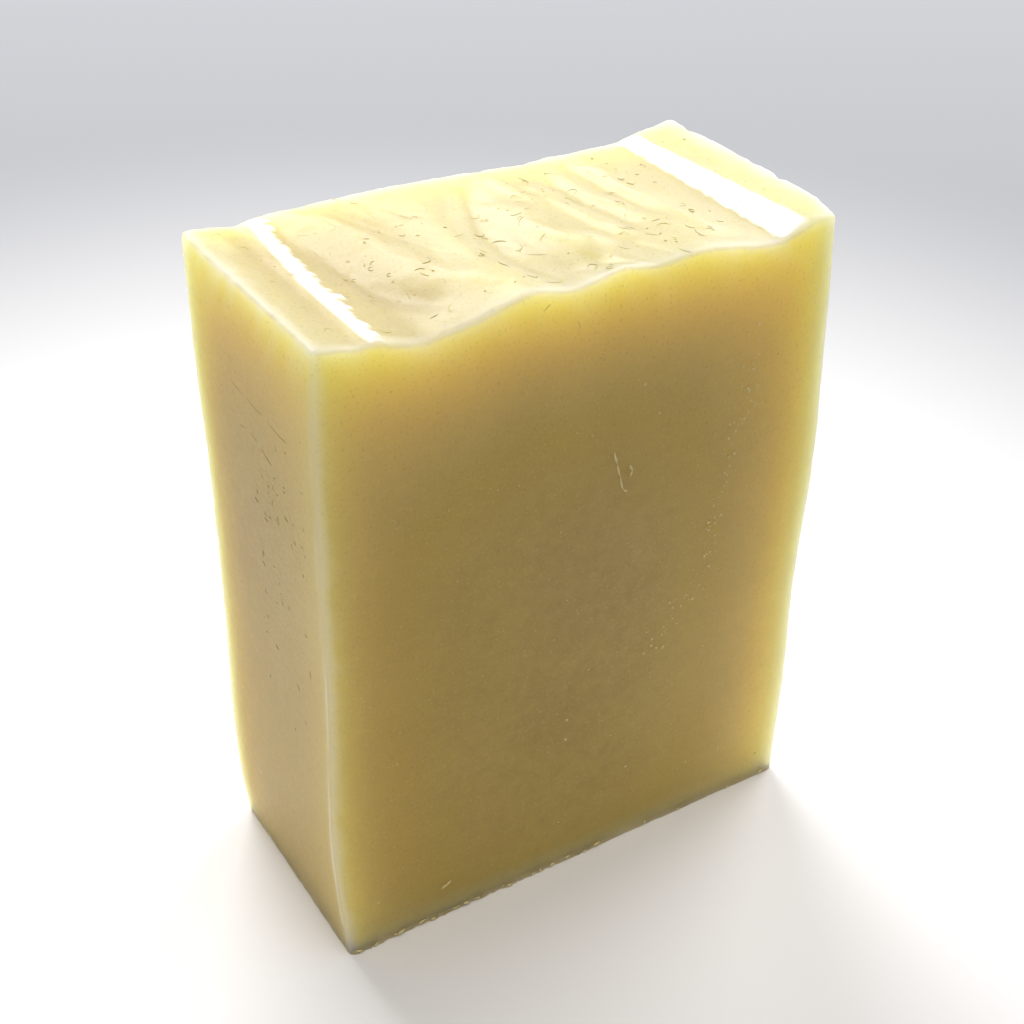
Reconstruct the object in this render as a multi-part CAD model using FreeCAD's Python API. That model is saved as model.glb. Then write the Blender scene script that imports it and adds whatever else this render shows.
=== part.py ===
import FreeCAD, Part
import math
import os

from FreeCAD import Vector

# A bar of soap sliced from a tall loaf and standing on the loaf's base.
# X runs across the loaf, Y along it (the cut thickness), Z up. The origin is
# the middle of the base. All lengths are millimetres.

# Overall size
HEIGHT = 80.0
WIDTH = 65.2
THICKNESS_TOP = 30.0
THICKNESS_BASE = 29.1

# The two moulded sides lean and bow a little: how far each corner line of the
# bar stands inside the full width, as
# (share of the height, left front, left rear, right front, right rear).
SIDE_INSETS = [
    (0.000, 1.45, 2.20, 0.50, 0.90),
    (0.060, 1.00, 1.60, 0.40, 0.70),
    (0.125, 0.50, 1.20, 0.30, 0.60),
    (0.200, 0.10, 1.00, 0.20, 0.50),
    (0.350, 0.10, 1.10, 0.60, 0.50),
    (0.500, 0.35, 1.00, 0.30, 0.40),
    (0.650, 0.10, 0.90, 0.00, 0.50),
    (0.775, 0.05, 0.50, 0.50, 0.90),
    (0.900, 0.00, 0.30, 0.90, 1.30),
    (1.000, 0.30, 0.20, 1.40, 1.70),
]

# The poured top, read along the front cut and along the rear cut: how far the
# soap stands above the nominal height at a distance from the left side.
FRONT_CREST = [
    (0.0, 0.1),
    (3.8, -0.4),
    (7.3, -1.2),
    (11.8, -2.0),
    (15.9, -1.5),
    (20.3, -0.7),
    (24.7, 0.2),
    (29.8, -0.8),
    (35.8, 0.0),
    (39.8, -0.4),
    (46.3, -0.2),
    (51.3, -1.1),
    (56.3, -1.5),
    (60.3, -0.5),
    (65.2, 1.3),
]
REAR_CREST = [
    (0.0, 0.5),
    (3.8, 0.2),
    (7.1, -0.3),
    (10.6, 0.2),
    (19.3, 0.3),
    (27.0, 0.2),
    (33.3, -0.1),
    (42.3, -0.6),
    (54.3, -0.6),
    (58.8, 0.0),
    (65.2, 1.2),
]

# Strokes left in the top while it was soft: height, half width, and the line
# each one follows from the bar's middle, rear end first.
STROKES = [
    (0.35, 1.1, [(-24.9, 16.0), (-25.6, 5.4), (-26.1, -4.2), (-25.9, -16.0)]),
    (-0.45, 2.0, [(-22.6, 11.5), (-22.2, 3.0), (-20.5, -3.5), (-16.5, -9.0)]),
    (0.40, 2.4, [(-18.5, 11.0), (-15.5, 3.0), (-14.5, -4.0), (-11.0, -9.0)]),
    (-0.70, 1.9, [(-1.2, 9.5), (-4.5, 2.0), (-5.8, -5.5), (-3.5, -10.0), (2.5, -11.0)]),
    (0.45, 1.7, [(1.5, 3.0), (0.8, -3.0), (3.8, -7.0)]),
    (0.45, 1.2, [(6.4, 7.5), (6.9, 0.0), (8.2, -6.5)]),
    (-0.45, 1.2, [(9.3, 9.5), (9.6, 2.0), (10.8, -5.5)]),
    (-0.40, 1.1, [(13.4, 12.0), (13.6, 4.0), (14.6, -3.0)]),
    (0.45, 1.2, [(15.4, 10.0), (15.9, 2.0), (17.6, -8.5)]),
    (0.35, 1.1, [(3.2, 12.0), (4.2, 4.0)]),
]

# The front right corner of the top is worn down over this reach.
WORN_CORNER_DROP = 1.6
WORN_CORNER_REACH = 2.6

# Bevels pared off the edges, measured along the faces
SIDE_BEVEL = 0.8
TOP_BEVEL = 0.6
BASE_BEVEL = 0.4

# Spacing of the points that the top surface and the bevels around it pass
# through, and how far those surfaces reach past the bar on every side.
STEP_ACROSS = 1.2
STEP_ALONG = 2.4
STEP_RIM = 2.4
OVERHANG = 3.0

# How far the slice reaches past its height and below its base before both are
# trimmed, and how tall the solid is that trims the top.
STOCK_ABOVE = 4.0
STOCK_BELOW = 2.0
TRIM_HEIGHT = 12.0


def through(points, x):
    """Height of the smooth curve through the points at x, straight beyond its ends."""
    last = len(points) - 1
    slopes = []
    for i in range(last + 1):
        before = points[max(i - 1, 0)]
        after = points[min(i + 1, last)]
        slopes.append((after[1] - before[1]) / (after[0] - before[0]))
    if x <= points[0][0]:
        return points[0][1] + slopes[0] * (x - points[0][0])
    if x >= points[last][0]:
        return points[last][1] + slopes[last] * (x - points[last][0])
    i = max(k for k in range(last) if points[k][0] <= x)
    span = points[i + 1][0] - points[i][0]
    t = (x - points[i][0]) / span
    start = points[i][1] * (1 + 2 * t) * (1 - t) ** 2
    start += slopes[i] * span * t * (1 - t) ** 2
    end = points[i + 1][1] * t * t * (3 - 2 * t)
    end += slopes[i + 1] * span * t * t * (t - 1)
    return start + end


def distance_to(line, x, y):
    """Shortest distance in plan from a point to a line of straight runs."""
    best = None
    for (ax, ay), (bx, by) in zip(line, line[1:]):
        run = (bx - ax) ** 2 + (by - ay) ** 2
        t = ((x - ax) * (bx - ax) + (y - ay) * (by - ay)) / run
        t = min(max(t, 0.0), 1.0)
        away = math.hypot(x - ax - t * (bx - ax), y - ay - t * (by - ay))
        best = away if best is None else min(best, away)
    return best


def top_height(x, y):
    """Height of the poured top at a place in plan."""
    share = (y + THICKNESS_TOP / 2) / THICKNESS_TOP
    across = x + WIDTH / 2
    z = HEIGHT
    z += (1 - share) * through(FRONT_CREST, across) + share * through(REAR_CREST, across)
    for height, half_width, line in STROKES:
        z += height * math.exp(-((distance_to(line, x, y) / half_width) ** 2))
    corner = math.hypot(x - WIDTH / 2, y + THICKNESS_TOP / 2)
    z -= WORN_CORNER_DROP * math.exp(-((corner / WORN_CORNER_REACH) ** 2))
    return z


def stations(reach, step):
    """Evenly spaced places from -reach to +reach, near the given step."""
    count = 2 * math.ceil(reach / step)
    return [-reach + 2 * reach * i / count for i in range(count + 1)]


def smooth_edge(points):
    """One smooth edge through the points."""
    curve = Part.BSplineCurve()
    curve.interpolate(points)
    return curve.toShape()


def cross_section(at_rear, set_back, inset):
    """Outline of the slice cut across, set back from its front or rear cut face."""
    left_column = 2 if at_rear else 1
    right_column = 4 if at_rear else 3

    def place(x, z):
        y = -THICKNESS_TOP / 2 + set_back
        if at_rear:
            grown = (THICKNESS_TOP - THICKNESS_BASE) * z / HEIGHT
            y += THICKNESS_BASE + grown - 2 * set_back
        return Vector(x, y, z)

    def side(column, outward):
        spots = []
        for row in SIDE_INSETS:
            spots.append((outward * (WIDTH / 2 - row[column] - inset), row[0] * HEIGHT))
        spots.insert(0, (spots[0][0], -STOCK_BELOW))
        spots.append((spots[-1][0], HEIGHT + STOCK_ABOVE))
        return [place(x, z) for x, z in spots]

    left = side(left_column, -1)
    right = side(right_column, 1)
    edges = [
        smooth_edge(left),
        Part.makeLine(left[-1], right[-1]),
        smooth_edge(right),
        Part.makeLine(right[0], left[0]),
    ]
    return Part.Wire(Part.__sortEdges__(edges))


def sliced_block():
    """The slice, too tall at both ends, with its four upright edges bevelled."""
    sections = [
        cross_section(False, 0, SIDE_BEVEL),
        cross_section(False, SIDE_BEVEL, 0),
        cross_section(True, SIDE_BEVEL, 0),
        cross_section(True, 0, SIDE_BEVEL),
    ]
    return Part.makeLoft(sections, True, True)


def below_base():
    """Everything below the flat base, to be trimmed from the slice."""
    corner = Vector(-WIDTH, -THICKNESS_TOP, -2 * STOCK_BELOW)
    return Part.makeBox(2 * WIDTH, 2 * THICKNESS_TOP, 2 * STOCK_BELOW, corner)


def poured_top():
    """Everything above the poured top surface, to be trimmed from the slice."""
    rows = []
    for x in stations(WIDTH / 2 + OVERHANG, STEP_ACROSS):
        places = stations(THICKNESS_TOP / 2 + OVERHANG, STEP_ALONG)
        rows.append([Vector(x, y, top_height(x, y)) for y in places])
    surface = Part.BSplineSurface()
    surface.interpolate(rows)
    return surface.toShape().extrude(Vector(0, 0, TRIM_HEIGHT))


def rim(at_rear, outward):
    """Plan position of a top corner of the slice, before its bevels."""
    row = SIDE_INSETS[-1]
    inset = row[(2 if at_rear else 1) if outward < 0 else (4 if at_rear else 3)]
    side = THICKNESS_TOP / 2 if at_rear else -THICKNESS_TOP / 2
    return Vector(outward * (WIDTH / 2 - inset), side, 0)


def above_rim(start, end):
    """Everything above the bevel along one edge of the top, from corner to corner.

    The bevel faces up and out at 45 degrees, the way out being on the right.
    """
    along = (end - start).normalize()
    out = along.cross(Vector(0, 0, 1))
    middle = (start + end) / 2
    inner = []
    outer = []
    for place in stations((end - start).Length / 2 + OVERHANG, STEP_RIM):
        spot = middle + along * place
        spot.z = top_height(spot.x, spot.y) - TOP_BEVEL
        inner.append(spot - out * OVERHANG + Vector(0, 0, OVERHANG))
        outer.append(spot + out * OVERHANG - Vector(0, 0, OVERHANG))
    strip = Part.makeRuledSurface(smooth_edge(inner), smooth_edge(outer))
    return strip.extrude(Vector(0, 0, TRIM_HEIGHT))


def is_at_base(box):
    """An edge around the base."""
    return box.ZMax < BASE_BEVEL


os.makedirs("parts", exist_ok=True)

corners = [rim(False, -1), rim(False, 1), rim(True, 1), rim(True, -1)]
bar = sliced_block().cut(below_base()).cut(poured_top())
for start, end in zip(corners, corners[1:] + corners[:1]):
    bar = bar.cut(above_rim(start, end))
bar = bar.Solids[0]
base_edges = [edge for edge in bar.Edges if is_at_base(edge.BoundBox)]
bar = bar.makeChamfer(BASE_BEVEL, base_edges).Solids[0]

bar.exportStep("parts/soap_bar.step")

box = bar.BoundBox
print("solid", bar.isValid(), "volume", round(bar.Volume, 1))
print("box", round(box.XLength, 2), round(box.YLength, 2), round(box.ZLength, 2))
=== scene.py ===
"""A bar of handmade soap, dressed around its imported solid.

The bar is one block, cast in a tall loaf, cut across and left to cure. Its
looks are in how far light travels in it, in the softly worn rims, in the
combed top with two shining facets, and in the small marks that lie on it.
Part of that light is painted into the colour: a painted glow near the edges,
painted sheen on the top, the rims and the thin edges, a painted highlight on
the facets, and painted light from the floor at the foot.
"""
import logging
import math
from dataclasses import dataclass, field
from enum import Enum
from typing import Callable

import bpy
import numpy as np
from bpy.types import Material, Mesh, Node, NodeSocket, NodeTree, Object
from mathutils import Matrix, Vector
from mathutils.bvhtree import BVHTree


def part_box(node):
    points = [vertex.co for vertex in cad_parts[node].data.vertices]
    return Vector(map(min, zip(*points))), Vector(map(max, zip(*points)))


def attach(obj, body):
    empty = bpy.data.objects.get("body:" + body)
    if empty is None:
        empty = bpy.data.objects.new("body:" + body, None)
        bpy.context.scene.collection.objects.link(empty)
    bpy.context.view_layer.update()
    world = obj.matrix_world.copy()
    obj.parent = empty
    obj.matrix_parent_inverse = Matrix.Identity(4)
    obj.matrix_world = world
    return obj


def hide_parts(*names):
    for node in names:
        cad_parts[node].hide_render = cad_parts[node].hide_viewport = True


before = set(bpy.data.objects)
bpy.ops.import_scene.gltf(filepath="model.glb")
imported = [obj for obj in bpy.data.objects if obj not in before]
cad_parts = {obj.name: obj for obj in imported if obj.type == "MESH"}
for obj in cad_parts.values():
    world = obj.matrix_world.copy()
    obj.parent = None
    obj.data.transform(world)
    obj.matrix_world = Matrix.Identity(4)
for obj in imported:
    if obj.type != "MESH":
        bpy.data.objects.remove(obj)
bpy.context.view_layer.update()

LOG = logging.getLogger("soap")
MM = 0.001
# Places in metres that are closer than this count as the same.
CLOSE = 1e-6
Pair = tuple[float, float]
Triple = tuple[float, float, float]
Line = list[Pair]
Array = np.ndarray


def linear(code: str) -> tuple[float, float, float, float]:
    """Turns a colour as it looks on a screen into the light it stands for.

    Args:
        code: the sRGB colour, such as "#F0E6C8".

    Returns:
        Red, green, blue and alpha, linear.
    """
    shares = [int(code[i : i + 2], 16) / 255 for i in (1, 3, 5)]
    lights = [s / 12.92 if s <= 0.04045 else ((s + 0.055) / 1.055) ** 2.4 for s in shares]
    return lights[0], lights[1], lights[2], 1.0


def feed(tree: NodeTree, node: Node, inputs: dict) -> None:
    """Sets or links the inputs of a node.

    Args:
        tree: the node tree that the node is in.
        node: the node.
        inputs: each input's name or number, with the value it holds or the output that feeds it.
    """
    for name, value in inputs.items():
        if isinstance(value, NodeSocket):
            tree.links.new(value, node.inputs[name])
        else:
            node.inputs[name].default_value = value


def add_node(
    tree: NodeTree, kind: str, inputs: dict | None = None, out: int | str = 0, **settings
) -> NodeSocket:
    """Adds one shader node with its settings and its inputs.

    Args:
        tree: the node tree that the node goes into.
        kind: Blender's name for the kind of node.
        inputs: as in feed.
        out: the name or number of the output that is wanted.
        settings: the node's own options.

    Returns:
        That output.
    """
    made = tree.nodes.new(kind)
    for name, value in settings.items():
        setattr(made, name, value)
    feed(tree, made, inputs or {})
    return made.outputs[out]


def new_material(name: str) -> tuple[Material, NodeTree, Node, NodeSocket]:
    """Starts a material.

    Args:
        name: what it is called.

    Returns:
        The material, its node tree, its shader and the Object coordinates for its patterns.
    """
    made = bpy.data.materials.new(name)
    made.use_nodes = True
    tree = made.node_tree
    place = add_node(tree, "ShaderNodeTexCoord", out="Object")
    return made, tree, tree.nodes["Principled BSDF"], place


def smooth(t: Array) -> Array:
    """A soft step from 0 to 1 as t goes from 0 to 1."""
    t = np.clip(t, 0.0, 1.0)
    return t * t * (3 - 2 * t)


def fade(away: Array, reach: float | Array, power: float = 2.0) -> Array:
    """What is left of 1 at a distance, by how far it reaches. More power ends it more suddenly."""
    return np.exp(-((away / reach) ** power))


def along(line: Line, at: Array) -> Array:
    """Reads a line of (place, value) pairs, places rising, at other places."""
    places, values = zip(*line)
    return np.interp(at, places, values)


def crossed(table: Array, i: Array, j: Array, s: Array, t: Array) -> Array:
    """Reads a table between its places, past the place i, j by the shares s and t."""
    rows, columns = table.shape
    i, next_i, j, next_j = i % rows, (i + 1) % rows, j % columns, (j + 1) % columns
    near = table[i, j] * (1 - s) + table[next_i, j] * s
    far = table[i, next_j] * (1 - s) + table[next_i, next_j] * s
    return near * (1 - t) + far * t


def select_only(objects: list[Object]) -> None:
    """Selects the objects and nothing else, the first one being active."""
    bpy.ops.object.select_all(action="DESELECT")
    for item in objects:
        item.select_set(True)
    bpy.context.view_layer.objects.active = objects[0]


def points_of(net: Mesh, kind: str = "co") -> Array:
    """Reads the places ("co") or the outward directions ("normal") of a mesh's points, in rows."""
    flat = np.empty(len(net.vertices) * 3)
    net.vertices.foreach_get(kind, flat)
    return flat.reshape(-1, 3)


@dataclass
class Ripple:
    """Soft irregular waves over a flat field, the same on every run."""

    size: float
    seed: int
    # Where on the field the readings start.
    start: float = 0.0
    field_size: int = 256

    def at(self, u: Array, v: Array) -> Array:
        """Reads the waves, from about -1 to 1, at places in the same unit as the size."""
        a, b = (u + self.start) / self.size, v / self.size
        i, j = np.floor(a).astype(int), np.floor(b).astype(int)
        heights = np.random.default_rng(self.seed).uniform(-1, 1, (self.field_size,) * 2)
        return crossed(heights, i, j, smooth(a - i), smooth(b - j))


@dataclass
class Readings:
    """Readings of a surface on an even grid, which can be read anywhere."""

    low: Pair
    high: Pair
    values: Array

    @classmethod
    def taken(
        cls, low: Pair, high: Pair, counts: tuple[int, int], read: Callable[[float, float], float]
    ) -> "Readings":
        """Takes the readings one by one.

        Args:
            low: the grid's lowest corner.
            high: the grid's highest corner.
            counts: how many readings each way.
            read: gives the reading at a place.

        Returns:
            The readings.
        """
        us, vs = (np.linspace(low[k], high[k], counts[k]) for k in (0, 1))
        return cls(low, high, np.array([[read(u, v) for v in vs] for u in us]))

    def at(self, u: Array, v: Array) -> Array:
        """Reads the surface between the readings, and straight on past them."""
        rows, columns = self.values.shape
        a = (u - self.low[0]) / (self.high[0] - self.low[0]) * (rows - 1)
        b = (v - self.low[1]) / (self.high[1] - self.low[1]) * (columns - 1)
        i = np.clip(np.floor(a).astype(int), 0, rows - 2)
        j = np.clip(np.floor(b).astype(int), 0, columns - 2)
        return crossed(self.values, i, j, a - i, b - j)


@dataclass(frozen=True)
class Pattern:
    """An irregular pattern in a finish: how large its grains are and how fine it gets."""

    size: float
    detail: float = 2.0

    def inputs(self, place: NodeSocket) -> dict:
        """What its noise node is given."""
        return {"Vector": place, "Scale": 1 / self.size, "Detail": self.detail}


@dataclass(frozen=True)
class CuredSoap:
    """Cured cold-process soap, cast, cut and air-dried.

    It is milky all through: light goes in, wanders for millimetres and comes
    out yellow, so thin edges glow and the middle of a cut face stays deep
    ochre. That glow and the blue lost around it are also painted into the
    colour. The skin is waxy, between satin and matte, and dries paler where it
    is worn; the paler top and rims also carry painted sheen, the thin upright
    edges a pale painted sheen, the facets a painted highlight, and the dry foot
    painted light from the floor.
    """

    core: str = "#B59A4C"
    mottle: str = "#A88C42"
    # Painted glow: the light that comes out near the edges, painted into the colour.
    painted_glow: str = "#ECD070"
    # The top's skin: paler as a dried skin, and partly painted sheen.
    skin: str = "#CFC392"
    # Painted highlight: the near-white of the facets that mirror the light.
    facet: str = "#F6F1DF"
    # Painted sheen: a pale grey veil on the thin upright edges against the light.
    painted_edge_sheen: str = "#B3AB9F"
    # Rims worn paler, with painted sheen on them as well.
    rim: str = "#EEE1C4"
    # Painted light: the deeper yellow that light takes on its long way through the soap.
    dry_and_lit_foot: str = "#E9D594"
    # The dry, torn foot, with painted light from the floor on it.
    deep: str = "#BFA03A"
    freckle: str = "#8E7436"
    pale_freckle: str = "#D8C486"
    roughness: float = 0.42
    rim_roughness: float = 0.62
    facet_roughness: float = 0.15
    ior: float = 1.46
    # How far red, green and blue light wander, and what share of it does in the dry foot.
    wander: Triple = (1.0, 1.0, 0.38)
    wander_length: float = 22 * MM
    dry_wander: float = 0.1
    # Slow clouds in the poured batch, and finer mottling inside them.
    clouds: Pattern = Pattern(12 * MM, 3.0)
    curd: Pattern = Pattern(1.3 * MM)
    # Grains of undissolved soap, drawn as small as they are.
    grains: Pattern = Pattern(0.35 * MM)
    # The skin is a little uneven, with soft dimples and a fine tooth.
    dimples: Pattern = Pattern(1.5 * MM, 3.0)
    tooth: Pattern = Pattern(0.25 * MM)
    # Where the mould let go badly the side is pitted.
    pits: Pattern = Pattern(0.6 * MM, 3.0)
    # The cutting wire drew fine level lines: how long they are and how far apart.
    lines: Pair = (7 * MM, 0.7 * MM)
    # How deep the dimples, the tooth, the lines and the pits are.
    depths: tuple[float, ...] = (0.05 * MM, 0.012 * MM, 0.03 * MM, 0.16 * MM)

    def material(self) -> Material:
        """Builds the material, on Object coordinates and the bar's own attributes."""
        made, tree, shader, place = new_material("cured_cold_process_soap")
        marks = ("painted_glow", "painted_blue_loss", "skin", "painted_edge_sheen", "rim", "facet", "chalk_and_floor_light", "pitted")
        painted_glow, painted_blue_loss, skin, painted_edge_sheen, rim, facet, chalk_and_floor_light, pitted = (
            add_node(tree, "ShaderNodeAttribute", out="Fac", attribute_name=mark) for mark in marks
        )
        patterns = (self.clouds, self.curd, self.grains, self.dimples, self.tooth, self.pits)
        cloud, curd, grain, dimple, tooth, pit = (
            add_node(tree, "ShaderNodeTexNoise", item.inputs(place)) for item in patterns
        )
        length, apart = self.lines
        inputs = {"Vector": place, "Scale": (1 / length, 1 / length, 1 / apart)}
        level = add_node(tree, "ShaderNodeMapping", inputs)
        inputs = {"Vector": level, "Scale": 1.0, "Detail": 2.0}
        drawn = add_node(tree, "ShaderNodeTexNoise", inputs)
        both = add_node(tree, "ShaderNodeMath", {0: cloud, 1: curd}, operation="ADD")
        # From where to where in its pattern each of them shows, and how much at most.
        shares = []
        for value, start, stop, most in (
            (both, 0.68, 1.32, 1.0),
            (grain, 0.58, 0.80, 0.35),
            (grain, 0.40, 0.20, 0.45),
        ):
            inputs = {"Value": value, "From Min": start, "From Max": stop, "To Max": most}
            shares.append(add_node(tree, "ShaderNodeMapRange", inputs))
        mottled, freckled, flecked = shares
        # Each colour lies over the ones before it, by its share. Painted light among them: the
        # glow near the edges and the blue lost around it, the sheen on the thin edges, the top
        # and the worn rims, the facets' highlight, and the floor's light on the dry, torn foot.
        layers = [
            (self.mottle, mottled), (self.painted_glow, painted_glow), (self.deep, painted_blue_loss), (self.skin, skin),
            (self.freckle, freckled), (self.pale_freckle, flecked), (self.painted_edge_sheen, painted_edge_sheen),
            (self.rim, rim), (self.facet, facet), (self.dry_and_lit_foot, chalk_and_floor_light),
        ]
        colour = linear(self.core)
        for code, share in layers:
            inputs = {"Factor": share, 6: colour, 7: linear(code)}
            colour = add_node(tree, "ShaderNodeMix", inputs, 2, data_type="RGBA")
        sunk = add_node(tree, "ShaderNodeMath", {0: pit, 1: pitted}, operation="MULTIPLY")
        normal = {}
        for height, depth in zip((dimple, tooth, drawn, sunk), self.depths):
            inputs = {"Height": height, "Distance": depth, "Strength": 1.0}
            normal = {"Normal": add_node(tree, "ShaderNodeBump", inputs | normal)}
        # A worn rim is drier than the skin, and a facet is smooth.
        gloss = self.roughness
        for share, reached in ((rim, self.rim_roughness), (facet, self.facet_roughness)):
            inputs = {"Value": share, "To Min": gloss, "To Max": reached}
            gloss = add_node(tree, "ShaderNodeMapRange", inputs)
        # Light hardly wanders in the dry foot.
        inputs = {"Value": chalk_and_floor_light, "To Min": 1.0, "To Max": self.dry_wander}
        milky = add_node(tree, "ShaderNodeMapRange", inputs)
        look = {
            "Base Color": colour,
            "Roughness": gloss,
            "IOR": self.ior,
            "Subsurface Weight": milky,
            "Subsurface Radius": self.wander,
            "Subsurface Scale": self.wander_length,
        }
        feed(tree, shader, look | normal)
        return made


@dataclass(frozen=True)
class DrySoap:
    """Small dry bits of soap: dull, their tone wandering from one colour to the other."""

    name: str
    first: str
    second: str
    patches: Pattern
    # From where to where in the pattern the tone changes.
    turn: Pair
    roughness: float
    ior: float = 1.46

    def material(self) -> Material:
        """Builds the material, on Object coordinates."""
        made, tree, shader, place = new_material(self.name)
        tone = add_node(tree, "ShaderNodeTexNoise", self.patches.inputs(place))
        inputs = {"Value": tone, "From Min": self.turn[0], "From Max": self.turn[1]}
        share = add_node(tree, "ShaderNodeMapRange", inputs)
        inputs = {"Factor": share, 6: linear(self.first), 7: linear(self.second)}
        colour = add_node(tree, "ShaderNodeMix", inputs, 2, data_type="RGBA")
        look = {"Base Color": colour, "Roughness": self.roughness, "IOR": self.ior}
        feed(tree, shader, look)
        return made


@dataclass(frozen=True)
class DarkWisp(DrySoap):
    """Thread-thin curls of soap, olive brown: dull, each with its own tone."""

    name: str = "dark_soap_wisp"
    first: str = "#A89E6A"
    second: str = "#D6CB98"
    patches: Pattern = Pattern(2 * MM, 1.0)
    turn: Pair = (0.35, 0.65)
    roughness: float = 0.6


@dataclass(frozen=True)
class SodaAsh(DrySoap):
    """Crumbs and flakes with soda ash on them: chalky, pale cream, rough, powdery in patches."""

    name: str = "soda_ash_flake"
    first: str = "#EEE3B4"
    second: str = "#CDBA78"
    patches: Pattern = Pattern(0.5 * MM)
    turn: Pair = (0.0, 1.0)
    roughness: float = 0.7


@dataclass(frozen=True)
class MattPaper:
    """The studio's pale paper floor, white near the bar and cooler far from it, where painted shade
    stands for the lamps' light falling off.
    """

    near: str = "#F4F2F1"
    far: str = "#97989C"
    # Where the painted light is brightest; the floor greys away from it as painted shade.
    whitest: Triple = (-0.015, 0.0, 0.0)
    reach: Pair = (0.03, 0.25)
    roughness: float = 0.9

    def material(self) -> Material:
        """Builds the material, on Object coordinates."""
        made, tree, shader, place = new_material("matt_paper")
        inputs = {0: place, 1: self.whitest}
        away = add_node(tree, "ShaderNodeVectorMath", inputs, "Value", operation="DISTANCE")
        inputs = {"Value": away, "From Min": self.reach[0], "From Max": self.reach[1]}
        share = add_node(tree, "ShaderNodeMapRange", inputs, interpolation_type="SMOOTHSTEP")
        inputs = {"Factor": share, 6: linear(self.near), 7: linear(self.far)}
        colour = add_node(tree, "ShaderNodeMix", inputs, 2, data_type="RGBA")
        feed(tree, shader, {"Base Color": colour, "Roughness": self.roughness})
        return made


class Axis(Enum):
    """A direction of the bar."""

    ACROSS = 0
    ALONG = 1
    UP = 2


class Ragged(Enum):
    """Which side of a facet is torn, the other being straight."""

    LEFT = -1
    RIGHT = 1


@dataclass
class Facet:
    """A narrow slope along the top that faces left and mirrors the light.

    Places are millimetres from the bar's middle, and lines run from the front
    to the rear as (y, x) pairs. What the slope climbs is taken back over a run
    in before it and a run out after it, and the sunk share is the run in's.
    """

    left: Line
    right: Line
    slope: Line
    torn: Ragged
    tooth: float
    pitch: float
    run_in: float
    run_out: float
    sunk: float
    seed: int
    border: float = 0.3
    drift: float = 0.7

    def teeth(self, y: Array) -> Array:
        """How far the torn skin reaches past its border at places along the bar, in millimetres."""
        drift, size, fringe = (
            Ripple(wave, self.seed + number, start=90).at(y, y * 0)
            for number, wave in enumerate((2.3, 1.9, 0.5))
        )
        ramp = 1 - ((y + self.drift * drift) / self.pitch) % 1
        return self.tooth * (ramp * (0.6 + 0.4 * size) + 0.15 * fringe)

    def between(self, x: Array, left: Array, right: Array) -> Array:
        """How much of a strip from left to right there is at each place, from 0 to 1."""
        rising, falling = (x - left) / self.border + 0.5, (right - x) / self.border + 0.5
        return smooth(rising) * smooth(falling)

    def sloped(self, x: Array, y: Array) -> Array:
        """How much of the slope there is at each place, from 0 to 1."""
        return self.between(x, along(self.left, y), along(self.right, y))

    def skin(self, x: Array, y: Array) -> Array:
        """How much of the shining skin there is at each place, from 0 to 1."""
        left, right = along(self.left, y), along(self.right, y)
        if self.torn is Ragged.LEFT:
            return self.between(x, left - self.teeth(y), right)
        return self.between(x, left, right + self.teeth(y))


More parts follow.
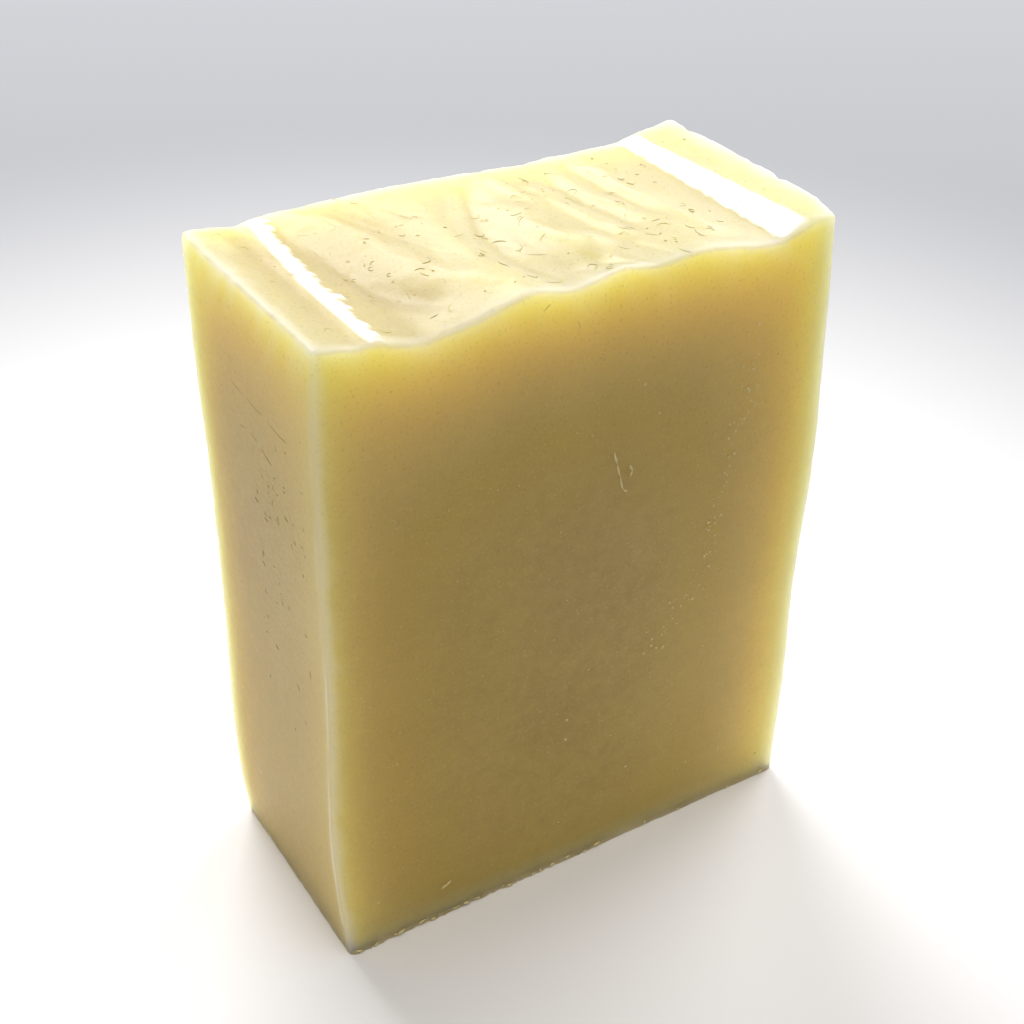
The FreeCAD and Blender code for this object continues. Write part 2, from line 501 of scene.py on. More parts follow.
@dataclass
class PouredTop:
    """The fine relief of the top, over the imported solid's own strokes."""

    facets: tuple[Facet, ...] = (
        Facet(
            left=[(-14.5, -25.9), (-12.7, -26.2), (-0.7, -26.2), (14.3, -25.0)],
            right=[(-14.5, -24.9), (-12.7, -25.2), (-0.7, -25.0), (14.3, -23.8)],
            slope=[(-15.0, 0.26), (15.0, 0.28)],
            torn=Ragged.RIGHT, tooth=1.5, pitch=1.9, run_in=4.5, run_out=6.0, sunk=0.3, seed=11,
        ),
        Facet(
            left=[(-14.5, 24.1), (14.3, 23.1)],
            right=[(-14.5, 27.5), (14.3, 24.9)],
            slope=[(-15.0, 0.40), (15.0, 0.42)],
            torn=Ragged.LEFT, tooth=0.6, pitch=2.7, run_in=7.0, run_out=4.0, sunk=0.5, seed=21,
        ),
    )
    grid_step: float = 0.2
    reach: Pair = (33.0, 15.4)
    combed: float = 0.06
    skin_depth: float = 0.03
    dimpled: float = 0.04
    creased: float = 0.035
    rim_inset: Pair = (0.6, 0.5)
    rim_width: float = 1.4
    rim_share: float = 0.45

    def relief(self, base: Callable[[Array, Array], Array]) -> Readings:
        """Works out how far the fine relief stands over the solid's top.

        Args:
            base: the solid's top, in millimetres from places in millimetres.

        Returns:
            The relief, in millimetres, over the whole top.
        """
        across, deep = self.reach
        xs = np.arange(-across, across + self.grid_step, self.grid_step)
        ys = np.arange(-deep, deep + self.grid_step, self.grid_step)
        x, y = np.meshgrid(xs, ys, indexing="ij")
        rise = np.gradient(base(x, y), self.grid_step, axis=0)
        total = np.zeros_like(x)
        for facet in self.facets:
            left, right = along(facet.left, y), along(facet.right, y)
            needed = along(facet.slope, y) - rise
            climb = np.cumsum(facet.sloped(x, y) * needed * self.grid_step, axis=0)
            gained = climb[-1:, :]
            before = smooth((x - left) / facet.run_in + 1)
            after = smooth((x - right) / facet.run_out)
            total += climb - gained * (facet.sunk * before + (1 - facet.sunk) * after)
            # The slope goes on inside the teeth, and the skin stands a little over the rest.
            torn = np.maximum(x - right, 0) - np.maximum(left - x, 0)
            skin = facet.skin(x, y)
            total += needed * torn * skin + self.skin_depth * skin
        # Combed ridges in the right half, curving off to the left at their rear ends.
        bent = x + 0.30 * y - 0.012 * (y + 4) ** 2
        comb = Ripple(1.15, 5).at(bent, y / 9) + 0.5 * Ripple(0.6, 6).at(bent, y / 6)
        total += self.combed * comb * (smooth((x + 6) / 8) * smooth((21.5 - x) / 4))
        total += self.dimpled * Ripple(2.4, 7).at(x, y)
        total += 0.5 * self.dimpled * Ripple(0.9, 8).at(x, y)
        # Creases where the setting soap folded over itself, sharp below and round above.
        folds = smooth(np.abs(Ripple(3.4, 9).at(x + 0.35 * y, y * 0.45)) / 0.22) - 1
        total += self.creased * folds * smooth((x + 24) / 3) * smooth((20 - x) / 5)
        # The rim is worn, so the relief is shallower there.
        inset = self.rim_inset
        rim = np.minimum(across - inset[0] - np.abs(x), deep - inset[1] - np.abs(y))
        total *= self.rim_share + (1 - self.rim_share) * smooth(rim / self.rim_width)
        return Readings((xs[0], ys[0]), (xs[-1], ys[-1]), total)

    def shine(self, x: Array, y: Array) -> Array:
        """How smooth and shining the top is at each place, from 0 to 1. The pale facet colour it
        lays on is a painted highlight.
        """
        return np.max([facet.skin(x, y) for facet in self.facets], axis=0)


class Face(Enum):
    """A face of the bar that marks lie on."""

    TOP = "top"
    FRONT = "front"
    LEFT = "left"
    RIGHT = "right"
    REAR = "rear"


@dataclass
class Dent:
    """A small hollow, in millimetres from the middle of the base."""

    place: Triple
    reach: float
    depth: float


@dataclass
class Nearness:
    """How far points of the plain block are from its faces, in millimetres.

    The shares that are worked out from these distances go from 0 to 1.
    """

    left: Array
    front: Array
    foot: Array
    right: Array
    rear: Array
    top: Array
    # Points nearer to a face than this lie on it.
    on_face: float = 0.4

    def glow(self) -> Array:
        """How much glow of the light that comes in near the edges is painted into the colour."""
        dull = np.ones_like(self.top)
        for away, share, reach, power in (
            (self.top, 1.0, 13, 1.5),
            (np.maximum(self.left, self.front), 0.50, 9, 1.0),
            (np.maximum(self.right, self.front), 0.52, 16, 2.0),
            (np.maximum(self.right, self.rear), 0.40, 13, 2.0),
        ):
            dull = dull * (1 - share * fade(away, reach, power))
        # The left side is lit from above, so it glows more high up and less low down.
        on_left = self.left < 2 * self.on_face
        dull = dull * (1 - 0.16 * smooth((self.foot - 18) / 30) * on_left)
        dull = np.minimum(dull * (1 + 0.12 * smooth((24 - self.foot) / 16) * on_left), 1)
        # The pale floor lights the foot, and that of the front higher up.
        on_front = smooth((1.6 - self.front) / 1.6)
        low = fade(self.foot, 1.6 + 0.6 * on_front)
        return 1 - dull * (1 - low) * (1 - 0.30 * on_front * fade(self.foot, 4.5, 1.0))

    def painted_blue_loss(self, glow: Array) -> Array:
        """How much painted loss of blue there is: around the painted glow, and low on the left
        side.
        """
        on_left = smooth((1.2 - self.left) / 0.8)
        ring = 0.55 * fade(glow - 0.2, 0.13)
        return ring * (1 - on_left) + 0.5 * smooth((48 - self.foot) / 26) * on_left

    def thin_pale(self) -> Array:
        """How much pale painted sheen lies on the thin upright edges against the light, less on the
        lit faces.
        """
        rear_edges = np.maximum(np.minimum(self.left, self.right), self.rear)
        upright = np.minimum(np.maximum(self.right, self.front), rear_edges)
        lit = smooth((self.on_face - np.minimum(self.right, self.rear)) / self.on_face)
        return fade(upright, 2.6 - 1.3 * lit) * smooth((self.foot + 1) / 3) * (1 - 0.4 * lit)

    def worn_and_painted_sheen(self) -> Array:
        """How pale the rims are: worn paler, with painted sheen on them."""
        round_rim = self.left + self.right * 0.3 + self.front * 1.3 + self.foot
        ragged = 1 + 0.35 * Ripple(2.2, 41, start=90).at(round_rim, self.front + self.left)
        upright = np.maximum(self.left, self.front)
        share = 0.40 * fade(upright, ragged) + 0.13 * fade(upright, 4.5, 1.0)
        outside = np.min([self.left, self.right, self.front, self.rear], axis=0)
        on_left = self.left < self.on_face
        below = (0.55 + 0.2 * on_left) * ragged
        below = below * fade(self.top, (1.5 + 0.7 * on_left) * ragged, 1.0)
        above = 0.42 * fade(outside, 1.1 * ragged)
        crest = np.maximum(below * (outside < self.on_face), above * (self.top < self.on_face))
        share = np.maximum(share, crest * smooth(self.rear / 2))
        # A painted highlight: one bright line down the lower part of the front left edge.
        line = (self.left < 0.05) * fade(self.front - 0.8, 0.12) * smooth((46 - self.foot) / 6)
        line = line * (0.55 + 0.35 * Ripple(5.0, 43, start=90).at(self.foot, self.left))
        line = line * smooth((self.foot - 3) / 3)
        return np.maximum(share, line) * smooth((self.foot + 0.4) / 1.2)

    def foot_chalk_and_light(self) -> Array:
        """How dry and chalky the torn foot is, with painted light from the pale floor there too."""
        coarse, fine = (
            Ripple(size, seed, start=90).at(self.left, self.front)
            for size, seed in ((1.6, 45), (0.6, 46))
        )
        ragged = 0.55 + 0.45 * coarse + 0.2 * fine
        return 0.8 * fade(self.foot, np.maximum(ragged, 0.2))


@dataclass
class SoapBar:
    """The block itself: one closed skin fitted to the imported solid."""

    rounding: float = 0.8 * MM
    top_rounding: float = 0.55 * MM
    foot_rounding: float = 0.12 * MM
    cuts: tuple[tuple[Axis, int], ...] = ((Axis.ACROSS, 97), (Axis.ALONG, 44), (Axis.UP, 45))
    # How far inside the solid's edges its faces are read, and at how many places.
    inset: float = 1.15 * MM
    side_inset: float = 2.3 * MM
    corner_inset: float = 0.4 * MM
    top_counts: tuple[int, int] = (180, 84)
    side_counts: tuple[int, int] = (12, 60)
    rear_counts: tuple[int, int] = (2, 30)
    # The top's relief runs out over this much of the sides.
    crown: float = 3 * MM
    top: PouredTop = field(default_factory=PouredTop)
    fringe: float = 0.07 * MM
    fringe_reach: float = 0.9 * MM
    wave: float = 0.04 * MM
    burr: float = 0.14 * MM
    dents: tuple[Dent, ...] = (
        Dent((31.2, 11.2, 80.9), 0.9, 0.5),
        Dent((31.0, -5.2, 81.0), 0.8, 0.45),
        Dent((31.0, -12.7, 81.0), 0.7, 0.4),
        Dent((-32.0, 14.6, 42.0), 0.8, 0.45),
    )

    def __post_init__(self) -> None:
        """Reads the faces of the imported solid, in metres, by looking at it from outside."""
        self.low, self.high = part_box("soap_bar")
        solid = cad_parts["soap_bar"]
        tree = BVHTree.FromObject(solid, bpy.context.evaluated_depsgraph_get())

        def seen(start: tuple, way: tuple, axis: Axis) -> float:
            return tree.ray_cast(Vector(start), Vector(way))[0][axis.value]

        x0, y0, z0 = self.low
        x1, y1, z1 = self.high
        inset, side = self.inset, self.side_inset
        bottom, crown = z0 + inset, z1 - self.crown
        self.top_face = Readings.taken(
            (x0 + inset, y0 + inset),
            (x1 - side - self.corner_inset, y1 - inset),
            self.top_counts,
            lambda u, v: seen((u, v, 1), (0, 0, -1), Axis.UP),
        )
        self.left_face, self.right_face = (
            Readings.taken(
                (y0 + inset, bottom),
                (y1 - side, crown),
                self.side_counts,
                lambda u, v, way=way: seen((-way, u, v), (way, 0, 0), Axis.ACROSS),
            )
            for way in (1, -1)
        )
        self.rear_face = Readings.taken(
            (-0.01, bottom),
            (0.01, crown),
            self.rear_counts,
            lambda u, v: seen((u, 1, v), (0, -1, 0), Axis.ALONG),
        )
        self.fine = self.top.relief(lambda x, y: self.top_face.at(x * MM, y * MM) / MM)

    def fine_at(self, x: Array, y: Array) -> Array:
        """How far the fine relief of the top stands over the solid, in metres."""
        return self.fine.at(x / MM, y / MM) * MM

    def on(self, face: Face, spots: Array) -> Array:
        """Lays spots on a face, seen upright from outside.

        Args:
            face: the face.
            spots: rows of place to the right, place up and lift, in metres. On the top, the
                second is the place to the rear.

        Returns:
            The spots in space, in metres.
        """
        u, v, lift = spots.T
        if face is Face.TOP:
            return np.stack([u, v, self.top_face.at(u, v) + self.fine_at(u, v) + lift], 1)
        if face is Face.FRONT:
            return np.stack([u, self.low[1] - lift, v], 1)
        if face is Face.LEFT:
            return np.stack([self.left_face.at(-u, v) - lift, -u, v], 1)
        if face is Face.RIGHT:
            return np.stack([self.right_face.at(u, v) + lift, u, v], 1)
        return np.stack([-u, self.rear_face.at(0 * v, v) + lift, v], 1)

    def block(self) -> Object:
        """Models the plain block: a cube, its edges rounded, its faces cut into an even net."""
        size = self.high - self.low
        bpy.ops.mesh.primitive_cube_add(size=1, location=(self.low + self.high) / 2, scale=size)
        made = bpy.context.object
        made.name = made.data.name = "soap_block"
        bpy.ops.object.transform_apply()
        bpy.ops.object.mode_set(mode="EDIT")
        bpy.ops.mesh.select_mode(type="EDGE")
        foot, crest = self.low[2] + CLOSE, self.high[2] - CLOSE
        for wanted, offset, segments in (
            (lambda ends: np.ptp(ends[:, :, 2], axis=1) > 1 * MM, self.rounding, 4),
            (lambda ends: ends[:, :, 2].min(axis=1) > crest, self.top_rounding, 3),
            (lambda ends: ends[:, :, 2].max(axis=1) < foot, self.foot_rounding, 2),
        ):
            self.select_edges(made, wanted)
            bpy.ops.mesh.bevel(offset=offset, segments=segments, profile=0.5, affect="EDGES")
        for axis, count in self.cuts:
            for number in (count, 1):
                self.select_edges(made, lambda ends, way=axis.value: self.runs_along(ends, way))
                bpy.ops.mesh.subdivide(number_cuts=number)
        bpy.ops.object.mode_set(mode="OBJECT")
        return made

    @staticmethod
    def runs_along(ends: Array, way: int) -> Array:
        """Which edges run straight along an axis, the short ones of the roundings left out."""
        run = np.abs(ends[:, 1] - ends[:, 0])
        length = np.linalg.norm(run, axis=1)
        return (run[:, way] > 0.9999 * length) & (length > 0.35 * MM)

    @staticmethod
    def select_edges(made: Object, wanted: Callable[[Array], Array]) -> None:
        """Selects edges by their place, and leaves edit mode on.

        Args:
            made: the object in edit mode.
            wanted: says which edges are selected, from the places of their two ends.
        """
        bpy.ops.mesh.select_all(action="DESELECT")
        bpy.ops.object.mode_set(mode="OBJECT")
        net = made.data
        pairs = np.empty(len(net.edges) * 2, int)
        net.edges.foreach_get("vertices", pairs)
        net.edges.foreach_set("select", wanted(points_of(net)[pairs.reshape(-1, 2)]))
        bpy.ops.object.mode_set(mode="EDIT")

    def fitted(self, spots: Array) -> Array:
        """Moves the block's points, in rows and in metres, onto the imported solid's faces."""
        x, y, z = spots.T
        low, high = self.low, self.high
        rear = self.rear_face.at(0 * z, z)
        y = low[1] + (y - low[1]) * (rear - low[1]) / (high[1] - low[1])
        left, right = self.left_face.at(y, z), self.right_face.at(y, z)
        x = left + (x - low[0]) * (right - left) / (high[0] - low[0])
        near_top = smooth((z - high[2] + self.crown) / self.crown)
        z = z * self.top_face.at(x, y) / high[2] + near_top * self.fine_at(x, y)
        return np.stack([x, y, z], 1)

    def worn(self, spots: Array, normals: Array, away: Array) -> Array:
        """Wears the rims, presses the dents and pulls out the burr.

        Args:
            spots: rows of x, y and z, in metres.
            normals: the outward directions there.
            away: how far each point is from the nearest edge of the block.

        Returns:
            The moved points.
        """
        x, y, z = spots.T / MM
        at_rim = fade(away, self.fringe_reach)
        chatter = Ripple(1.7, 31, start=80).at(x + y * 1.3, z + y * 0.7)
        chatter = chatter + 0.6 * Ripple(0.8, 32, start=80).at(x - y, z + x)
        push = -self.fringe * at_rim * np.clip(0.35 + chatter, 0, None)
        push = push + self.wave * Ripple(9, 33, start=50).at(x, z + y) * (1 - at_rim)
        for dent in self.dents:
            gone = np.linalg.norm(spots / MM - np.array(dent.place), axis=1)
            push = push - dent.depth * MM * fade(gone, dent.reach)
        moved = spots + normals * push[:, None]
        # The front cut left a torn burr along most of its foot.
        coarse, fine = (
            Ripple(size, seed, start=80).at(x, 0 * x) for size, seed in ((2.1, 51), (0.5, 52))
        )
        torn = np.clip(0.1 + 0.7 * coarse + fine, 0, 1.3) * smooth((7 - x) / 5)
        moved[:, 1] -= self.burr * torn * smooth((0.6 - z) / 0.5) * (y < -14)
        moved[:, 2] = np.maximum(moved[:, 2], 0.0)
        return moved

    def make(self, finish: CuredSoap) -> Object:
        """Models, fits, wears and dresses the bar."""
        made = self.block()
        net = made.data
        block = points_of(net)
        gaps = np.concatenate([block - np.array(self.low), np.array(self.high) - block], axis=1)
        away = np.sort(gaps, axis=1)[:, 1]
        spots = self.fitted(block)
        net.vertices.foreach_set("co", spots.ravel())
        net.update()
        spots = self.worn(spots, points_of(net, "normal"), away)
        net.vertices.foreach_set("co", spots.ravel())
        x, y, z = spots.T / MM
        near = Nearness(*(gaps.T / MM))
        on_top = smooth((0.55 - near.top) / 0.45)
        glow = near.glow()
        marks = {
            # Painted glow near the edges, kept off the top.
            "painted_glow": glow * (1 - on_top),
            # Painted loss of blue, around the glow and low on the left side.
            "painted_blue_loss": near.painted_blue_loss(glow) * (1 - on_top),
            # Painted sheen on the thin upright edges.
            "painted_edge_sheen": near.thin_pale() * (1 - on_top),
            # Worn rims, partly painted sheen, and a painted highlight line.
            "rim": near.worn_and_painted_sheen(),
            # The facets' near-white is a painted highlight.
            "facet": self.top.shine(x, y) * on_top * smooth((away / MM - 0.4) / 0.5),
            # The paler top is partly a dried skin, partly painted sheen.
            "skin": on_top * (1 - 0.38 * smooth((-6 - x) / 14)),
            # Dry chalky foot and painted light from the floor.
            "chalk_and_floor_light": near.foot_chalk_and_light(),
            "pitted": smooth((2 - near.left) / 1.5) * fade(y + 5, 8) * fade(z - 53, 15),
        }
        for name, values in marks.items():
            layer = net.attributes.new(name, "FLOAT", "POINT")
            layer.data.foreach_set("value", values.astype(np.float32))
        net.update()
        select_only([made])
        bpy.ops.object.shade_smooth()
        net.materials.append(finish.material())
        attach(made, "root")
        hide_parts("soap_bar")
        return made


class Curl(Enum):
    """How far a wisp is turned round, in degrees."""

    STRAND = 25
    ARC = 95
    HOOK = 165
    RING = 250

    @property
    def angle(self) -> float:
        """The turn in radians."""
        return math.radians(self.value)

    @property
    def radius(self) -> float:
        """The radius of the bend that gives a wisp of length one."""
        return 1 / self.angle


Bends = list[Curl | None]


@dataclass
class Spot:
    """Where one mark lies on a face, in millimetres, and how it is turned and sized."""

    face: Face
    u: float
    v: float
    turn: float
    length: float
    width: float
    curl: Curl | None = None


@dataclass
class Marks:
    """Many small closed forms of one finish, joined into one piece."""

    name: str
    bar: SoapBar
    spots: list[Spot]
    finish: DrySoap
    # How far the middle of a mark stands over the face, as a share of its width.
    raised: float = 0.15
    # How thick a wisp's pattern is, and its ends as a share of that.
    section: float = 0.04
    thin_end: float = 0.25
    # How thick a flake is for its width.
    flatness: float = 0.6
    flake_seeds: tuple[int, ...] = (1, 2, 3)

    def wisp(self, curl: Curl) -> Object:
        """Models one wisp of length one: a small section spun into a bend."""
        bpy.ops.mesh.primitive_circle_add(
            vertices=5,
            radius=self.section / 2,
            fill_type="NGON",
            location=(curl.radius, 0, 0),
            rotation=(math.pi / 2, 0, 0),
        )
        made = bpy.context.object
        bpy.ops.object.transform_apply()
        bpy.ops.object.mode_set(mode="EDIT")
        bpy.ops.mesh.select_all(action="SELECT")
        steps = 3 + curl.value // 40
        bpy.ops.mesh.spin(steps=steps, angle=-curl.angle, center=(0, 0, 0), axis=(0, 0, 1))
        bpy.ops.mesh.select_all(action="SELECT")
        bpy.ops.mesh.remove_doubles(threshold=CLOSE)
        bpy.ops.mesh.normals_make_consistent(inside=False)
        bpy.ops.object.mode_set(mode="OBJECT")
        return made

    def flake(self, seed: int) -> Object:
        """Models one flake of length one: a rough lump."""
        bpy.ops.mesh.primitive_ico_sphere_add(subdivisions=1, radius=0.5)
        made = bpy.context.object
        bpy.ops.object.mode_set(mode="EDIT")
        bpy.ops.mesh.select_all(action="SELECT")
        bpy.ops.transform.vertex_random(offset=0.16, seed=seed)
        bpy.ops.object.mode_set(mode="OBJECT")
        return made

    def bent(self, local: Array, spot: Spot) -> Array:
        """Sizes a wisp: its bend by its length, its section by its width, thin at both ends.

        Args:
            local: rows of x, y and z on the pattern.
            spot: where the wisp lies.

        Returns:
            The sized rows, in millimetres.
        """
        angle, radius = spot.curl.angle, spot.curl.radius
        gone = np.arctan2(local[:, 1], local[:, 0]) % math.tau
        gone = np.where(gone > angle + 1e-3, 0.0, gone)
        belly = np.sin(np.clip(gone / angle, 0, 1) * math.pi) ** 0.6
        thick = spot.width / self.section * (self.thin_end + (1 - self.thin_end) * belly)
        reach = radius * spot.length + (np.hypot(local[:, 0], local[:, 1]) - radius) * thick
        across = reach * np.cos(gone) - radius * spot.length
        return np.stack([across, reach * np.sin(gone), local[:, 2] * thick], 1)

    def placed(self, pattern: Object, spot: Spot) -> Object:
        """Copies a pattern onto its spot.

        Args:
            pattern: the wisp or flake that is copied.
            spot: where the copy lies.

        Returns:
            The copy, with its own mesh, following the face.
        """
        made = pattern.copy()
        made.data = pattern.data.copy()
        bpy.context.scene.collection.objects.link(made)
        local = points_of(made.data)
        if spot.curl:
            local = self.bent(local, spot)
        else:
            local = local * np.array([spot.length, spot.width, self.flatness * spot.width])
        c, s = math.cos(spot.turn), math.sin(spot.turn)
        u = spot.u + c * local[:, 0] - s * local[:, 1]
        v = spot.v + s * local[:, 0] + c * local[:, 1]
        lift = local[:, 2] + self.raised * spot.width
        laid = self.bar.on(spot.face, np.stack([u, v, lift], 1) * MM)
        made.data.vertices.foreach_set("co", laid.ravel())
        made.data.update()
        return made

    def make(self) -> Object:
        """Models the patterns, copies them to their spots, joins them and dresses the piece."""
        curls = [curl for curl in Curl if any(spot.curl is curl for spot in self.spots)]
        wisps = {curl: self.wisp(curl) for curl in curls}
        flakes = [self.flake(seed) for seed in self.flake_seeds]
        copies = []
        for number, spot in enumerate(self.spots):
            pattern = wisps[spot.curl] if spot.curl else flakes[number % len(flakes)]
            copies.append(self.placed(pattern, spot))
        for pattern in [*wisps.values(), *flakes]:
            bpy.data.objects.remove(pattern)
        select_only(copies)
        bpy.ops.object.join()
        made = copies[0]
        made.name = made.data.name = self.name
        bpy.ops.object.transform_apply()
        bpy.ops.object.shade_smooth()
        made.data.materials.append(self.finish.material())
        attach(made, "root")
        return made


# Where the larger dark wisps lie on the top.
WISPS = [
    (-29.1, 0.9), (-29.1, 12.2), (-28.9, 7.4), (-28.3, -11.0), (-28.2, -6.1), (-27.5, 8.5),
    (-26.3, 1.9), (-23.7, -4.5), (-23.5, -11.7), (-22.6, 4.0), (-21.8, 10.0), (-21.6, -8.7),
    (-20.5, -6.1), (-20.5, -1.2), (-18.9, -6.5), (-18.9, 8.0), (-17.9, -0.3), (-17.7, -7.2),
    (-15.1, 13.4), (-14.9, -10.7), (-13.9, -3.2), (-13.2, 13.2), (-10.5, 7.8), (-9.2, 5.9),
    (-8.5, 0.0), (-7.2, -4.4), (-7.1, -6.9), (-6.2, -10.6), (-5.6, -12.5), (-4.9, 1.4),
    (-4.1, -12.6), (-3.8, -4.7), (-3.1, -2.3), (-3.1, 5.7), (-2.9, -5.7), (0.5, 0.3), (0.8, 0.4),
    (1.1, -11.9), (1.9, -13.0), (2.0, -12.4), (2.5, -2.0), (2.9, 5.8), (4.3, -7.4), (4.7, 3.9),
    (4.8, 6.6), (5.6, -9.3), (6.5, 9.5), (6.7, -2.7), (6.7, 9.4), (7.8, -6.5), (8.6, 3.2),
    (9.1, -5.8), (9.5, -7.2), (10.0, 4.9), (10.6, -13.2), (11.1, -9.9), (13.6, -8.1), (15.3, -8.3),
    (15.7, -9.7), (16.3, 3.9), (17.8, -10.8), (18.1, -5.3), (18.2, 4.1), (18.3, -3.3), (18.5, 6.2),
    (19.2, -5.1), (19.8, -7.9), (21.5, 7.5), (28.1, 3.7),
]
# The course of the pale trail on the front, and where single specks lie there.
TRAIL = [
    (21.5, 69.0), (21.3, 63.8), (20.2, 61.2), (21.7, 59.0), (20.5, 57.3), (19.1, 55.6),
    (18.6, 52.6), (18.1, 48.1), (17.7, 44.6), (17.2, 39.6), (15.5, 35.1), (12.8, 33.6),
    (12.0, 31.3), (9.2, 28.8),
]
SPECKS = [
    (-1.8, 23.1), (-1.9, 20.2), (17.0, 8.1), (7.4, 11.7), (-27.3, 6.9), (6.4, 65.9), (8.6, 61.6),
]


@dataclass
class Scatter:
    """Chooses where the marks lie: some listed one by one, the rest strewn around them."""

    seed: int = 4
    wisp_width: Pair = (0.06, 0.12)
    flake_width: Pair = (0.5, 0.9)

    def __post_init__(self) -> None:
        """Starts the even, repeatable run of chances."""
        self.chance = np.random.default_rng(self.seed)

    def strewn(
        self, face: Face, middle: Pair, spread: Pair, count: int, curls: Bends, length: Pair
    ) -> list[Spot]:
        """Strews marks around a place.

        Args:
            face: the face that they lie on.
            middle: the place, in millimetres.
            spread: how far they lie from it each way.
            count: how many there are.
            curls: the bends to choose from, or None for a flake.
            length: the shortest and the longest length.

        Returns:
            The spots.
        """
        made = []
        for _ in range(count):
            u, v = (middle[k] + spread[k] * self.chance.uniform(-1, 1) for k in (0, 1))
            curl = curls[self.chance.integers(len(curls))]
            size = self.chance.uniform(*length)
            if curl:
                width = self.chance.uniform(*self.wisp_width)
            else:
                width = size * self.chance.uniform(*self.flake_width)
            made.append(Spot(face, u, v, self.chance.uniform(0, math.tau), size, width, curl))
        return made

    def strewn_rows(self, rows: list[tuple]) -> list[Spot]:
        """Strews marks for each row of what strewn takes, in turn."""
        return [spot for row in rows for spot in self.strewn(*row)]

    def drawn(self, face: Face, line: Line, width: float) -> list[Spot]:
        """Draws a line of strands through places on a face.

        Args:
            face: the face.
            line: the places, in millimetres.
            width: how thick the strands are.

        Returns:
            The spots, one for each run of the line.
        """
        made = []
        for (u, v), (to_u, to_v) in zip(line, line[1:]):
            turn = math.atan2(to_v - v, to_u - u) - math.pi / 2 - Curl.STRAND.angle / 2
            length = math.hypot(to_u - u, to_v - v)
            made.append(Spot(face, u, v, turn, length, width, Curl.STRAND))
        return made

    def wisps(self) -> list[Spot]:
        """The dark wisps on the top, and the few on the front."""
        strand, arc, hook, ring = Curl
        bends = [strand, arc, arc, hook, hook, ring, ring]
        top, front = Face.TOP, Face.FRONT
        rows = [(top, place, (0.2, 0.2), 1, bends, (0.9, 2.4)) for place in WISPS]
        rows += [
            (top, (0, 0), (21, 12), 60, bends, (0.4, 1.3)),
            (top, (4.5, 4.5), (5, 4), 8, bends, (0.8, 2.0)),
            (top, (15.5, 4.0), (2, 2), 5, bends, (0.8, 1.8)),
            (front, (-2.6, 73.9), (0.3, 0.3), 1, [arc], (1.6, 1.8)),
            (front, (-6.0, 78.4), (0.1, 0.2), 1, [strand], (1.0, 1.2)),
            (front, (-24.2, 58.1), (0.1, 0.1), 2, [hook], (1.0, 1.5)),
            (front, (-21.7, 51.1), (0.1, 0.1), 1, [strand], (0.5, 0.6)),
            (front, (-17.3, 66.5), (0.1, 0.1), 1, [arc], (0.6, 0.8)),
            (front, (0, 40), (29, 36), 60, [strand, arc], (0.2, 0.45)),
        ]
        return self.strewn_rows(rows)

    def side_curls(self) -> list[Spot]:
        """Two hair cracks and faint curls on the left side, and fewer curls out of sight."""
        left = Face.LEFT
        cracks = self.drawn(left, [(-4.9, 68.2), (-0.7, 67.9), (3.9, 67.7), (9.0, 67.3)], 0.10)
        cracks += self.drawn(left, [(-3.3, 63.4), (-0.8, 64.0), (2.0, 63.5), (4.4, 62.4)], 0.10)
        bends = [Curl.STRAND, Curl.ARC, Curl.HOOK]
        rows = [
            (left, (5, 60), (7, 6), 26, bends, (0.3, 1.1)),
            (left, (6, 50), (6, 7), 18, bends, (0.3, 1.1)),
            (left, (5, 36), (7, 9), 10, bends, (0.3, 1.1)),
            (Face.RIGHT, (0, 45), (12, 30), 24, bends, (0.4, 1.2)),
            (Face.REAR, (0, 42), (28, 34), 40, bends, (0.3, 1.0)),
        ]
        curls = self.strewn_rows(rows)
        for spot in curls:
            spot.width *= 0.7
        return cracks + curls

    def flakes(self) -> list[Spot]:
        """The pale specks: a trail and a hooked scratch on the front, and a few more all over."""
        front, flake = Face.FRONT, [None]
        hook = [(2.8, 58.5), (3.3, 56.9), (3.8, 55.1), (4.3, 53.2), (4.9, 52.9)]
        made = self.drawn(front, hook, 0.28)
        made += self.drawn(front, [(5.0, 56.2), (5.4, 55.4), (5.1, 54.6)], 0.34)
        rows = []
        for (u, v), (to_u, to_v) in zip(TRAIL, TRAIL[1:]):
            count = 3 + int(1.4 * math.hypot(to_u - u, to_v - v))
            middle = ((u + to_u) / 2, (v + to_v) / 2)
            spread = (0.7 + abs(to_u - u) / 2, 0.5 + abs(to_v - v) / 2)
            rows.append((front, middle, spread, count, flake, (0.15, 0.50)))
        rows += [(front, place, (0.1, 0.1), 2, flake, (0.25, 0.45)) for place in SPECKS]
        made += self.strewn_rows(rows)
        made += [Spot(front, -18.5, 4.8, 0.35, 1.1, 0.3), Spot(front, -17.9, 5.1, 0.6, 0.8, 0.35)]
        rows = [
            (front, (0, 42), (29, 36), 90, flake, (0.1, 0.26)),
            (Face.TOP, (0, 0), (29, 12.5), 60, flake, (0.15, 0.4)),
            (Face.LEFT, (0, 45), (12, 34), 30, flake, (0.12, 0.3)),
            (Face.RIGHT, (0, 45), (12, 34), 30, flake, (0.12, 0.3)),
            (Face.REAR, (0, 42), (29, 36), 90, flake, (0.1, 0.3)),
        ]
        return made + self.strewn_rows(rows)

    def crumbs(self) -> list[Spot]:
        """The crumbs along the foot of the front and the rear cut, most of them front left."""
        made = []
        for face, start, stop, count in (
            (Face.FRONT, -30, 4, 17),
            (Face.FRONT, 4, 30, 5),
            (Face.REAR, -28, 28, 11),
        ):
            for place in np.linspace(start, stop, count):
                made += self.strewn(face, (place, 0.5), (0.9, 0.2), 1, [None], (0.4, 1.3))
                made[-1].turn = self.chance.uniform(-0.5, 0.5)
                made[-1].width = self.chance.uniform(0.25, 0.5)
        return made


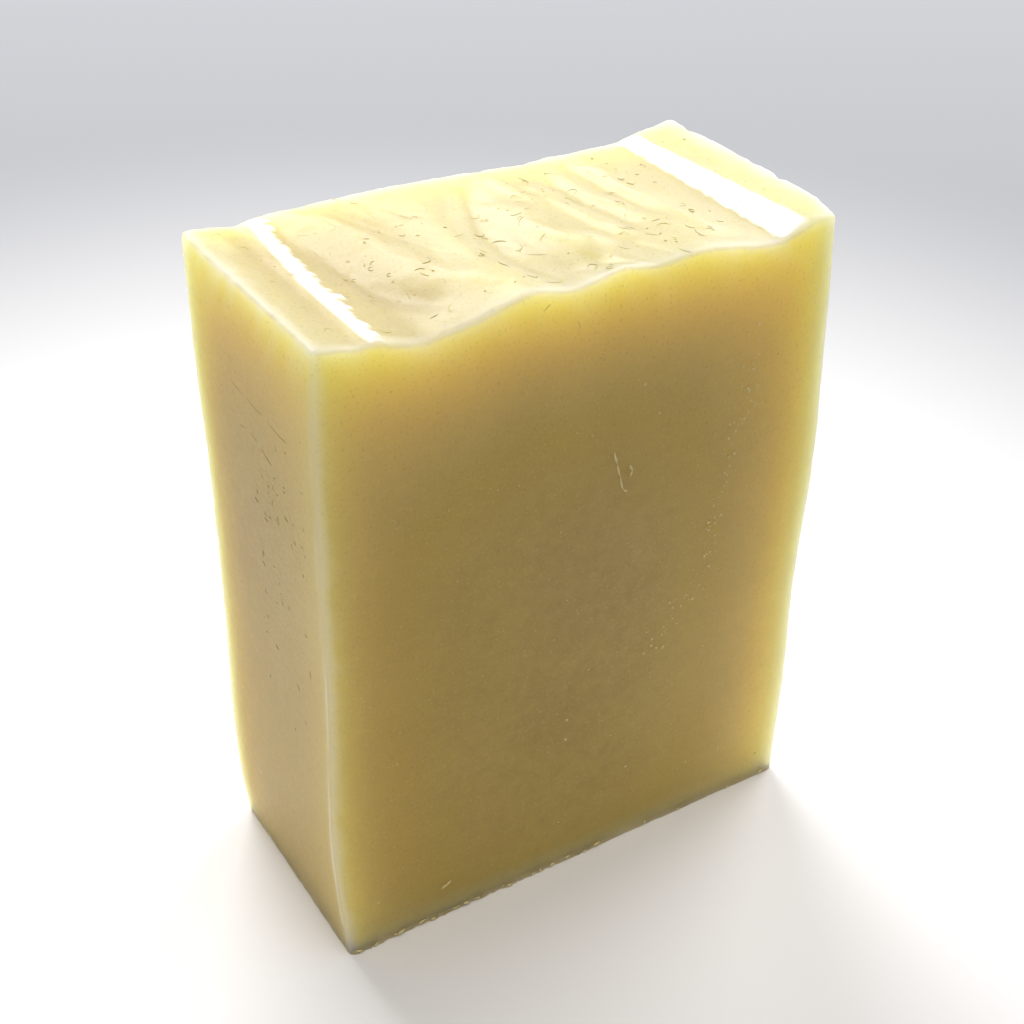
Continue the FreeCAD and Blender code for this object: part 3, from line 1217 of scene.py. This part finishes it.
@dataclass
class Lamp:
    """A soft round white lamp that looks at a point."""

    name: str
    way: Triple
    away: float
    width: float
    glow: float
    target: Triple = (0.0, 0.0, 0.04)

    def make(self) -> None:
        """Hangs the lamp. A glow of 1 is about that of a white wall in full light."""
        direction = Vector(self.way).normalized()
        data = bpy.data.lights.new(self.name, "AREA")
        data.shape = "DISK"
        data.size = self.width
        data.energy = self.glow * math.pi * math.pi * (self.width / 2) ** 2
        made = bpy.data.objects.new(self.name, data)
        made.location = Vector(self.target) + direction * self.away
        made.rotation_euler = direction.to_track_quat("Z", "Y").to_euler()
        bpy.context.scene.collection.objects.link(made)


@dataclass
class Studio:
    """The paper floor, the lamps and the camera."""

    lamps: tuple[Lamp, ...] = (
        Lamp("window_behind", (0.10, 0.72, 0.69), 1.0, 0.66, 9.0),
        Lamp("window_right", (0.80, 0.35, 0.45), 1.2, 0.80, 6.0),
        Lamp("ceiling_bounce", (-0.1, -0.25, 1.0), 1.6, 1.6, 2.0),
        Lamp("wall_left", (-1.0, 0.1, 0.45), 1.2, 0.9, 0.35),
    )
    sky: str = "#FFFFFF"
    sky_strength: float = 0.20
    sensor: float = 36.0
    lens: float = 61.817
    nearest: float = 0.01
    eye: Triple = (-0.09423, -0.14375, 0.15691)
    tilt: Triple = (56.508, -1.106, -32.425)
    floor_size: float = 6.0

    def make(self) -> None:
        """Builds the studio."""
        bpy.ops.mesh.primitive_plane_add(size=self.floor_size)
        floor = bpy.context.object
        floor.name = floor.data.name = "paper_floor"
        floor.data.materials.append(MattPaper().material())
        for lamp in self.lamps:
            lamp.make()
        world = bpy.data.worlds.new("soft_grey")
        world.use_nodes = True
        sky = world.node_tree.nodes["Background"]
        feed(world.node_tree, sky, {"Color": linear(self.sky), "Strength": self.sky_strength})
        scene = bpy.context.scene
        scene.world = world
        scene.view_settings.view_transform = "Standard"
        data = bpy.data.cameras.new("camera")
        data.sensor_width = self.sensor
        data.lens = self.lens
        data.clip_start = self.nearest
        camera = bpy.data.objects.new("camera", data)
        camera.location = self.eye
        camera.rotation_euler = [math.radians(a) for a in self.tilt]
        scene.collection.objects.link(camera)
        scene.camera = camera


def main() -> None:
    """Builds the bar, its marks and the studio, and reports each piece."""
    logging.basicConfig(level=logging.INFO, format="%(name)s: %(message)s")
    bar = SoapBar()
    scatter = Scatter()
    faint = DarkWisp(first="#93804E", second="#BBA873")
    crumb = SodaAsh(first="#E9DDAE", second="#CBB87A")
    pieces = [
        bar.make(CuredSoap()),
        Marks("dark_wisps", bar, scatter.wisps(), DarkWisp()).make(),
        Marks("side_curls", bar, scatter.side_curls(), faint).make(),
        Marks("ash_flakes", bar, scatter.flakes(), SodaAsh()).make(),
        Marks("foot_crumbs", bar, scatter.crumbs(), crumb, raised=0.3).make(),
    ]
    for piece in pieces:
        counts = len(piece.data.vertices), len(piece.data.polygons)
        LOG.info("%s: %d vertices, %d faces", piece.name, *counts)
    Studio().make()


if __name__ == "__main__":
    main()
